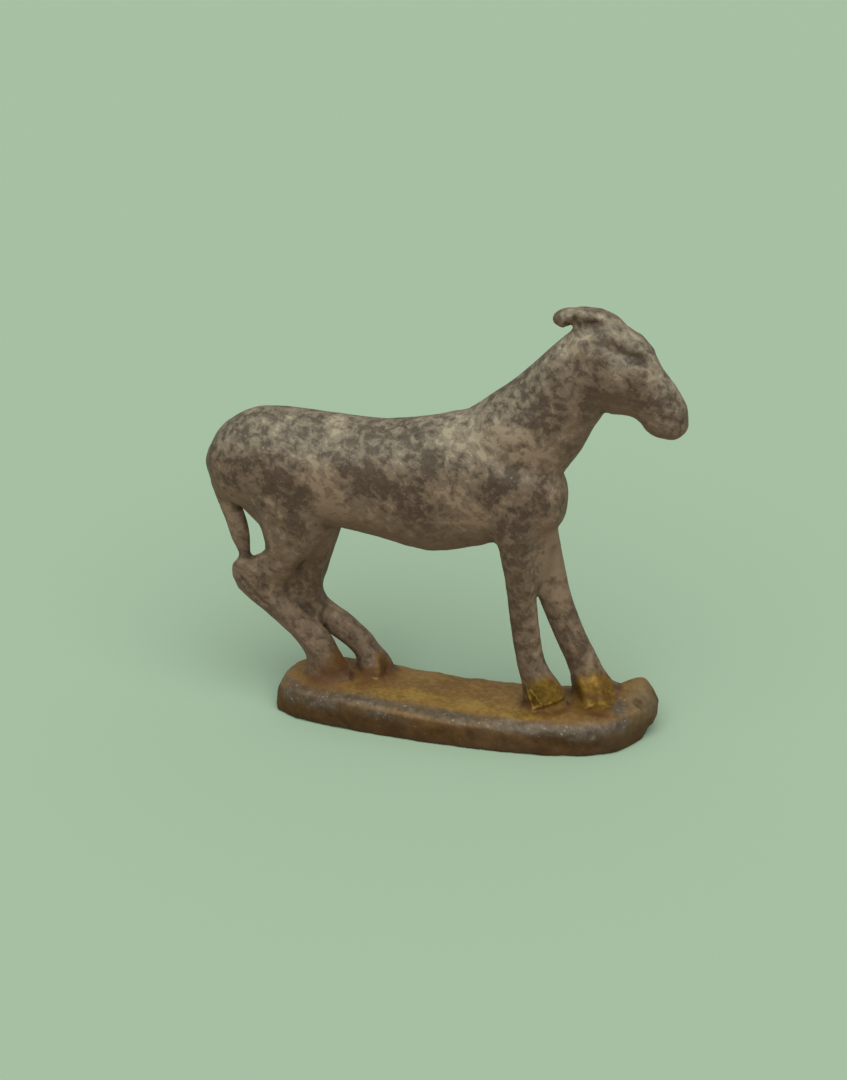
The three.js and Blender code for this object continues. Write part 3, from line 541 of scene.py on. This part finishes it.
def remeshed(points, triangles):
    """Even four-sided faces over the union of the given closed surfaces."""
    mesh = bpy.data.meshes.new("swollen_castings")
    mesh.from_pydata(points, [], triangles)
    carrier = bpy.data.objects.new("swollen_castings", mesh)
    bpy.context.scene.collection.objects.link(carrier)
    remesh = carrier.modifiers.new("even_faces", "REMESH")
    remesh.mode = "VOXEL"
    remesh.voxel_size = MESH_STEP
    result = carrier.evaluated_get(bpy.context.evaluated_depsgraph_get()).to_mesh()
    corners = np.empty(len(result.vertices) * 3)
    result.vertices.foreach_get("co", corners)
    faces = np.array([polygon.vertices[:] for polygon in result.polygons])
    bpy.data.objects.remove(carrier)
    bpy.data.meshes.remove(mesh)
    return outer_shell(corners.reshape(-1, 3), faces)


def outer_shell(points, faces):
    """The largest connected surface, without the closed hollows left inside at the pegs."""
    label = np.arange(len(points))
    while True:
        lowest = np.repeat(label[faces].min(axis=1), 4)
        lower = label.copy()
        np.minimum.at(lower, faces.ravel(), lowest)
        lower = lower[lower]
        if (lower == label).all():
            break
        label = lower
    kept = label == np.bincount(label).argmax()
    renumbered = np.cumsum(kept) - 1
    return Skin(points[kept], renumbered[faces[kept[faces[:, 0]]]])


def path_distance(points, path):
    """How far each point is from the line through the given places."""
    nearest = np.full(len(points), np.inf)
    for start, end in zip(np.array(path), np.array(path[1:])):
        span = end - start
        along = np.clip((points - start) @ span / (span @ span), 0, 1)
        nearest = np.minimum(nearest, np.linalg.norm(points - start - along[:, None] * span, axis=1))
    return nearest


def stroke(points, path, width):
    """1 on a line through the given places, falling to 0 beyond its width."""
    return np.exp(-(path_distance(points, path) / width) ** 2)


def spot(points, place, reach):
    """1 at a place, falling to 0 beyond its reach along each axis."""
    return np.exp(-(((points - np.array(place)) / np.array(reach)) ** 2).sum(axis=1))


def spots(points, places):
    """The greatest of several spots at each point."""
    return np.max([spot(points, *place) for place in places], axis=0)


def strokes(points, paths, width):
    """The greatest of several lines at each point."""
    return np.max([stroke(points, path, width) for path in paths], axis=0)


def lumps(points, size, seed):
    """Smooth noise of about -1 to 1 at each point, with lumps of the given size."""
    shift = Vector([seed * step for step in SEED_SHIFT])
    return np.array([noise.noise(Vector(place) / size + shift) for place in points])


def ramp(values, low, high):
    """0 below low, 1 above high and a smooth rise between."""
    share = np.clip((values - low) / (high - low), 0, 1)
    return share * share * (3 - 2 * share)


def make_skin():
    """The joined skin without its facets, and how much of each point belongs to each casting."""
    swollen, true, triangles, owners = gather_castings()
    tree = BVHTree.FromPolygons(true, triangles)
    add_fillets(swollen, triangles)
    skin = remeshed(swollen, triangles)
    nearest = np.array([tree.find_nearest(Vector(place))[2] for place in skin.points])
    belongs = np.eye(len(NODES))[owners[nearest]]
    belongs = skin.spread(belongs, SEAM_SPREAD)
    on_seam = np.clip(SEAM_GAIN * (1 - belongs.max(axis=1)), 0, 1)
    on_barrel = belongs[:, [NODES.index(name) for name in BARREL]].sum(axis=1)
    off_face = 1 - ramp(skin.points[:, 0], *FACE)
    skin.even(SKIN_EVENING, np.ones(len(skin.points)))
    skin.even(BARREL_EVENING, on_barrel * off_face)
    skin.soften(SEAM_EVENING, on_seam)
    skin.soften(SOFTENING, spots(skin.points, SOFTENED))
    skin.soften(RIM_ROUNDING, stroke(skin.points, RIM, RIM_WIDTH))
    skin.fill(FILLING, spots(skin.points, FILLED))
    skin.push(np.full(len(skin.points), -SEAM_SWELL))
    return skin, belongs


def near_half(points):
    """The points with the far half folded onto the near one."""
    return points * (1, 0, 1) - np.abs(points) * (0, 1, 0)


def sculpt(skin, bar_share):
    """Works the skin: the head's and legs' forms, the mould's flash and the cast unevenness."""
    points = skin.points.copy()
    folded = near_half(points)
    height = np.zeros(len(points))
    for path, rise, width in HEAD_STROKES:
        height += rise * stroke(folded, path, width)
    for path, rise, width in BODY_STROKES:
        height += rise * stroke(points, path, width)
    ragged = FLASH_MEAN + FLASH_SWING * lumps(points, FLASH_LUMPS, FLASH_SEED)
    height += FLASH_RISE * ragged * flash(points)
    skin.push(height)
    for seed, (size, rise, bar_rise) in enumerate(RELIEF, RELIEF_SEED):
        skin.push(lumps(points, size, seed) * (rise + (bar_rise - rise) * bar_share))
    skin.points[:, 2] = np.maximum(skin.points[:, 2], 0)


def flash(points):
    """1 on the mould's parting line along the middle of the back, neck and head, 0 away from it."""
    along = ramp(points[:, 2], FLASH_LOWEST, FLASH_LOWEST + FLASH_FADE)
    return np.exp(-(points[:, 1] / FLASH_WIDTH) ** 2) * along


def bloom_and_painted_light_patches(points, facing_near):
    """How much thicker or thinner the bloom is at each point than elsewhere, with some patches that paint
    light and shade.
    """
    bloom = np.zeros(len(points))
    for (x, z), (wide, high), strength in FLANK_PATCHES:
        across = ((points[:, 0] - x) / wide) ** 2 + ((points[:, 2] - z) / high) ** 2
        bloom += strength * np.exp(-PATCH_FALL * across) * facing_near
    return bloom


def paint(skin, bar_share, smooth_normals):
    """What covers each point, from 0 to 1, apart from bloom, which runs from gone to thick."""
    points = skin.points
    normals = skin.normals()
    height = points[:, 2]
    below = (skin.spread(points, HOLLOW_REACH) - points) * normals
    hollow = skin.spread(below, HOLLOW_EVENING).sum(axis=1)
    band = stroke(points + (0, 0, BAND_DROP), RIM, BAND_WIDTH)
    joins = JOIN_GRIME_AND_SHADE * bar_share * (1 - bar_share)
    gilt = [strength * spot(points, place, reach) for place, reach, strength in GILT_SPOTS]
    return {
        # bloom: thicker or thinner bloom, some of its patches painted light and shade.
        "bloom": bloom_and_painted_light_patches(points, ramp(-smooth_normals[:, 1], *FACING_NEAR)),
        "gilt": np.max(gilt, axis=0),
        # glint: bright gold on the hooves' edges, partly worn gold and partly painted highlights.
        "glint": strokes(points, GLINTS, GLINT_WIDTH),
        "bar_gold": stroke(points, GOLD_ON_BAR, GOLD_WIDTH),
        # reddish dirt round the feet, partly painted contact shade along the joins and below the hoof's
        # lip.
        "grime_and_contact_shade": np.maximum(spots(points, GRIME_AND_SHADE_SPOTS), joins),
        "rubbed": np.maximum(band, spots(points, BARE_SPOTS)),
        "stub": spot(points, *STUB),
        "low": bar_share * (1 - ramp(height, *BAR_FOOT)),
        "topside": ramp(smooth_normals[:, 2], *BAR_TOP) * bar_share,
        # crown: what faces up high on the animal, made paler partly as painted light from above.
        "crown": ramp(normals[:, 2], *FACING_SKY) * ramp(height, *CROWN_HEIGHT),
        "limb": 1 - ramp(height, *LIMB_HEIGHT),
        # under: what faces down, lightened as painted light from below.
        "under": ramp(-normals[:, 2], *FACING_FLOOR),
        # fin: the flash tinted pinkish brown, partly its own colour and partly painted edge shade where the
        # back turns away.
        "fin": flash(points),
        # hollow: how deep the surface lies below its surroundings, darkened as painted shade.
        "hollow": ramp(hollow, *HOLLOW_DEPTH),
        "bar": bar_share,
    }


def part_piece(skin, normals, covers, mine, name):
    """One casting's share of the skin as a closed mesh, shaded as part of the whole."""
    faces = skin.faces[mine]
    used = np.unique(faces)
    renumbered = np.full(len(skin.points), -1)
    renumbered[used] = np.arange(len(used))
    solid = bmesh.new()
    corners = [solid.verts.new(place) for place in skin.points[used] * MM]
    for face in renumbered[faces]:
        solid.faces.new([corners[i] for i in face])
    rim = [edge for edge in solid.edges if edge.is_boundary]
    caps = bmesh.ops.holes_fill(solid, edges=rim, sides=0)["faces"]
    bmesh.ops.poke(solid, faces=caps)
    mesh = bpy.data.meshes.new(name)
    solid.to_mesh(mesh)
    solid.free()
    mesh.polygons.foreach_set("use_smooth", [True] * len(mesh.polygons))
    shading = []
    for number, polygon in enumerate(mesh.polygons):
        if number < len(faces):
            shading += [normals[used[corner]] for corner in polygon.vertices]
        else:
            shading += [polygon.normal] * len(polygon.vertices)
    mesh.normals_split_custom_set(shading)
    for cover, values in covers.items():
        layer = mesh.attributes.new(cover, "FLOAT", "POINT")
        padded = np.zeros(len(mesh.vertices))
        padded[:len(used)] = values[used]
        layer.data.foreach_set("value", padded)
    piece = bpy.data.objects.new(name, mesh)
    bpy.context.scene.collection.objects.link(piece)
    return piece


def linear(red, green, blue):
    """A colour written in the screen's steps of 0 to 255, as the linear shares that the renderer takes."""
    shares = np.array([red, green, blue]) / 255
    return [*np.where(shares <= 0.04045, shares / 12.92, ((shares + 0.055) / 1.055) ** 2.4), 1]


class Finish:
    """A material made of nodes. Its methods add nodes and give back the socket with the result."""

    def __init__(self, name):
        self.material = bpy.data.materials.new(name)
        self.material.use_nodes = True
        self.tree = self.material.node_tree
        self.shader = self.tree.nodes["Principled BSDF"]
        place = self.tree.nodes.new("ShaderNodeTexCoord").outputs["Object"]
        self.place = self.node("ShaderNodeVectorMath", {0: place, 3: 1 / MM}, operation="SCALE").outputs[0]
        self.noises = {}

    def node(self, kind, inputs, **settings):
        """A new node with its settings and with each input fed."""
        made = self.tree.nodes.new(kind)
        for key, value in settings.items():
            setattr(made, key, value)
        for key, value in inputs.items():
            self.feed(made.inputs[key], value)
        return made

    def feed(self, socket, value):
        """Links a socket to another one, or sets its value."""
        if isinstance(value, bpy.types.NodeSocket):
            self.tree.links.new(value, socket)
        else:
            socket.default_value = value

    def cover(self, name):
        """What was laid on the skin under that name."""
        return self.node("ShaderNodeAttribute", {}, attribute_name=name).outputs["Fac"]

    def noise(self, name):
        """One of the noises, of 0 to 1, with its lumps slanting down to the front."""
        if name not in self.noises:
            size, detail, rough, shift, curl = NOISES[name]
            inputs = {
                "Vector": self.place,
                "Location": (shift, shift, shift),
                "Rotation": (0, FLECK_SLANT, 0),
                "Scale": (FLECK_STRETCH, 1, 1),
            }
            moved = self.node("ShaderNodeMapping", inputs, vector_type="TEXTURE").outputs[0]
            inputs = {
                "Vector": moved,
                "Scale": 1 / size,
                "Detail": detail,
                "Roughness": rough,
                "Distortion": curl,
            }
            self.noises[name] = self.node("ShaderNodeTexNoise", inputs).outputs[0]
        return self.noises[name]

    def mix(self, weights, *others):
        """The sum of noises by their weights and of other (value, weight) pairs."""
        noises = [(self.noise(name), weight) for name, weight in weights.items()]
        return self.total(*others, *noises)

    def marks(self, name):
        """1 on small scattered marks, 0 elsewhere."""
        weights, start, full = MARKS[name]
        return self.step(self.mix(weights), start, full)

    def tone(self, name):
        """A surface of two tones that noise parts."""
        dark, light, weights, start, full = TONES[name]
        return self.blend(self.step(self.mix(weights), start, full), linear(*dark), linear(*light))

    def stain_or_painted_light(self, colour, share, name):
        """A colour with a thin overlay over it: stains and dirt, and painted light and shade, as the table
        gives.
        """
        tint, strength = STAINS_AND_PAINTED_LIGHT[name]
        return self.blend(self.maths("MULTIPLY", share, strength), colour, linear(*tint))

    def edged(self, name):
        """A cover with a ragged edge."""
        weights, start, full = EDGES[name]
        return self.step(self.mix(weights, (self.cover(name), 1.0)), start, full)

    def pits(self):
        """1 in small scattered pits, 0 elsewhere."""
        cells = self.node("ShaderNodeTexVoronoi", {"Vector": self.place, "Scale": 1 / PIT_SIZE})
        inside = self.step(cells.outputs["Distance"], *PIT_EDGE)
        empty = 1 - PIT_SHARE
        held = self.step(cells.outputs["Color"], empty, empty + PIT_SOFTNESS)
        return self.maths("MULTIPLY", inside, held)

    def maths(self, operation, first, second):
        """The result of one operation on two numbers."""
        return self.node("ShaderNodeMath", {0: first, 1: second}, operation=operation).outputs[0]

    def total(self, *parts):
        """The sum of (value, weight) pairs."""
        result = 0.0
        for value, weight in parts:
            inputs = {0: value, 1: weight, 2: result}
            result = self.node("ShaderNodeMath", inputs, operation="MULTIPLY_ADD").outputs[0]
        return result

    def step(self, value, low, high):
        """0 below low, 1 above high and a smooth rise between."""
        inputs = {"Value": value, "From Min": low, "From Max": high}
        return self.node("ShaderNodeMapRange", inputs, interpolation_type="SMOOTHSTEP").outputs[0]

    def blend(self, share, first, second):
        """A colour between two colours."""
        return self.node("ShaderNodeMix", {0: share, 6: first, 7: second}, data_type="RGBA").outputs[2]

    def level(self, share, first, second):
        """A number between two numbers."""
        return self.node("ShaderNodeMix", {0: share, 2: first, 3: second}).outputs[0]


def animal_colour(f, patina):
    """Dark lead under patina, greyer on top and plainer on the limbs, with pits. Painted light makes the
    tops paler and the undersides lighter; painted shade darkens the hollows and partly tints the flash.
    """
    crown = f.cover("crown")
    colour = f.blend(crown, f.tone("bare_side"), f.tone("bare_top"))
    for start, soft, side, top in PATINA:
        tone = f.blend(crown, linear(*side), linear(*top))
        colour = f.blend(f.step(patina, start, start + soft), colour, tone)
    colour = f.blend(f.maths("MULTIPLY", f.cover("limb"), LIMB_SHARE), colour, f.tone("limb"))
    for cover in ("under", "fin", "hollow"):
        colour = f.stain_or_painted_light(colour, f.cover(cover), cover)
    return f.stain_or_painted_light(colour, f.pits(), "pit")


def bar_colour(f, leafed):
    """Brown sides with grey patches and gold flecks, a sandy top with gold leaf, and a greyer stub."""
    side = f.stain_or_painted_light(f.tone("bar_side"), f.marks("grey_patch"), "grey_patch")
    side = f.stain_or_painted_light(side, f.cover("low"), "low")
    side = f.stain_or_painted_light(side, f.marks("gold_fleck"), "gold_fleck")
    bar = f.blend(f.cover("topside"), side, f.tone("bar_top"))
    bar = f.blend(f.cover("stub"), bar, f.tone("stub"))
    return f.blend(leafed, bar, f.tone("leaf"))


def wear_and_painted_light(f, colour, rubbed):
    """The colour with metal rubbed bare, reddish dirt that is partly painted contact shade, bright gold on
    the hooves' edges that is partly a painted highlight, pale specks that are painted highlights where
    strong, and sparks as painted highlights.
    """
    colour = f.blend(f.maths("MULTIPLY", rubbed, METAL_SHARE), colour, f.tone("metal"))
    colour = f.stain_or_painted_light(colour, f.cover("grime_and_contact_shade"), "grime_and_contact_shade")
    colour = f.stain_or_painted_light(colour, f.edged("glint"), "glint")
    plain = f.level(f.cover("crown"), SPECKS["side"], SPECKS["crown"])
    strength = f.level(rubbed, plain, SPECKS["rubbed"])
    colour = f.stain_or_painted_light(colour, f.maths("MULTIPLY", f.marks("speck"), strength), "speck")
    return f.stain_or_painted_light(colour, f.maths("MULTIPLY", f.marks("sparkle_highlight"), rubbed), "sparkle_highlight")


def surface_level(f, levels, thick, gleam, rubbed):
    """A number for thin patina, thick patina, gold and rubbed metal, each where it lies."""
    patina = f.level(thick, levels["thin"], levels["thick"])
    return f.level(rubbed, f.level(gleam, patina, levels["gold"]), levels["rubbed"])


def cast_metal(name):
    """Dull lead under chalky bloom, with painted shade in its hollows, rubbed edges and remains of its
    gold.
    """
    f = Finish(name)
    # The laid-on bloom brings its patches of painted light and shade into the patina.
    patina = f.mix(PATINA_NOISE, (f.cover("bloom"), BLOOM_WEIGHT))
    leafed = f.edged("bar_gold")
    on_bar = f.edged("bar")
    gilded = f.edged("gilt")
    rubbed = f.edged("rubbed")
    colour = f.blend(on_bar, animal_colour(f, patina), bar_colour(f, leafed))
    colour = f.blend(gilded, colour, f.tone("gold"))
    f.feed(f.shader.inputs["Base Color"], wear_and_painted_light(f, colour, rubbed))

    thick = f.step(patina, *THICKENING)
    gleam = f.maths("MAXIMUM", gilded, f.maths("MULTIPLY", leafed, on_bar))
    gleam = f.maths("MULTIPLY", gleam, f.level(f.cover("grime_and_contact_shade"), 1.0, 0.0))
    f.feed(f.shader.inputs["Roughness"], surface_level(f, ROUGHNESS, thick, gleam, rubbed))
    f.feed(f.shader.inputs["Metallic"], surface_level(f, METALLIC, thick, gleam, rubbed))
    f.shader.inputs["Specular IOR Level"].default_value = SPECULAR

    height = f.mix(BUMP_NOISE, (patina, BUMP_PATINA))
    inputs = {"Height": height, "Strength": BUMP_STRENGTH, "Distance": BUMP_DEPTH * MM}
    f.feed(f.shader.inputs["Normal"], f.node("ShaderNodeBump", inputs).outputs[0])
    return f.material


def make_pieces():
    """One finished piece for each casting, in place of its plain solid."""
    skin, belongs = make_skin()
    bar_share = belongs[:, NODES.index(BAR)]
    smooth_normals = skin.normals()
    sculpt(skin, bar_share)
    covers = paint(skin, bar_share, smooth_normals)
    normals = skin.normals()
    owner = belongs[skin.faces].sum(axis=1).argmax(axis=1)
    finishes = {slot: cast_metal(slot) for slot in ("patinated_lead", "gilt_lead")}
    for number, name in enumerate(NODES):
        slot = "gilt_lead" if name == BAR else "patinated_lead"
        piece = part_piece(skin, normals, covers, owner == number, "cast_" + name)
        piece.data.materials.append(finishes[slot])
        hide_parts(name)
        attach(piece, "root")


def make_floor():
    """A plain pale floor, larger than any view of it."""
    mesh = bpy.data.meshes.new("floor")
    half = FLOOR_HALF * MM
    corners = [(-half, -half, 0), (half, -half, 0), (half, half, 0), (-half, half, 0)]
    mesh.from_pydata(corners, [], [(0, 1, 2, 3)])
    floor = bpy.data.objects.new("floor", mesh)
    bpy.context.scene.collection.objects.link(floor)
    finish = Finish("pale_floor")
    path = finish.node("ShaderNodeLightPath", {})
    seen = finish.maths("MAXIMUM", path.outputs["Is Camera Ray"], path.outputs["Is Glossy Ray"])
    colour = finish.blend(seen, linear(*FLOOR_LIT), linear(*FLOOR_SEEN))
    finish.feed(finish.shader.inputs["Base Color"], colour)
    finish.shader.inputs["Roughness"].default_value = FLOOR_ROUGHNESS
    finish.shader.inputs["Specular IOR Level"].default_value = 0.0
    mesh.materials.append(finish.material)


def make_light():
    """Soft studio light: an even room and one broad source above, to the right and in front."""
    scene = bpy.context.scene
    world = bpy.data.worlds.new("room")
    world.use_nodes = True
    scene.world = world
    room = world.node_tree.nodes["Background"]
    room.inputs["Color"].default_value = linear(*ROOM_COLOUR)
    room.inputs["Strength"].default_value = ROOM_STRENGTH
    lamp = bpy.data.lights.new("broad_source", "SUN")
    lamp.energy = LAMP_STRENGTH
    lamp.color = LAMP_COLOUR
    lamp.angle = LAMP_SPREAD
    source = bpy.data.objects.new("broad_source", lamp)
    source.rotation_euler = Vector(LAMP_TOWARDS).to_track_quat("Z", "Y").to_euler()
    scene.collection.objects.link(source)
    scene.view_settings.view_transform = "Standard"


def make_camera():
    """The camera at the photograph's angle."""
    azimuth = math.radians(VIEW_AZIMUTH)
    elevation = math.radians(VIEW_ELEVATION)
    level = math.cos(elevation)
    back = Vector((math.sin(azimuth) * level, -math.cos(azimuth) * level, math.sin(elevation)))
    lens = bpy.data.cameras.new("camera")
    lens.sensor_fit = "VERTICAL"
    lens.sensor_width = SENSOR
    lens.sensor_height = SENSOR
    lens.lens = LENS
    lens.clip_start = CLIP_START * MM
    camera = bpy.data.objects.new("camera", lens)
    camera.location = (Vector(VIEW_AIM) + back * VIEW_DISTANCE) * MM
    camera.rotation_euler = back.to_track_quat("Z", "Y").to_euler()
    bpy.context.scene.collection.objects.link(camera)
    bpy.context.scene.camera = camera


make_camera()
make_light()
make_floor()
make_pieces()
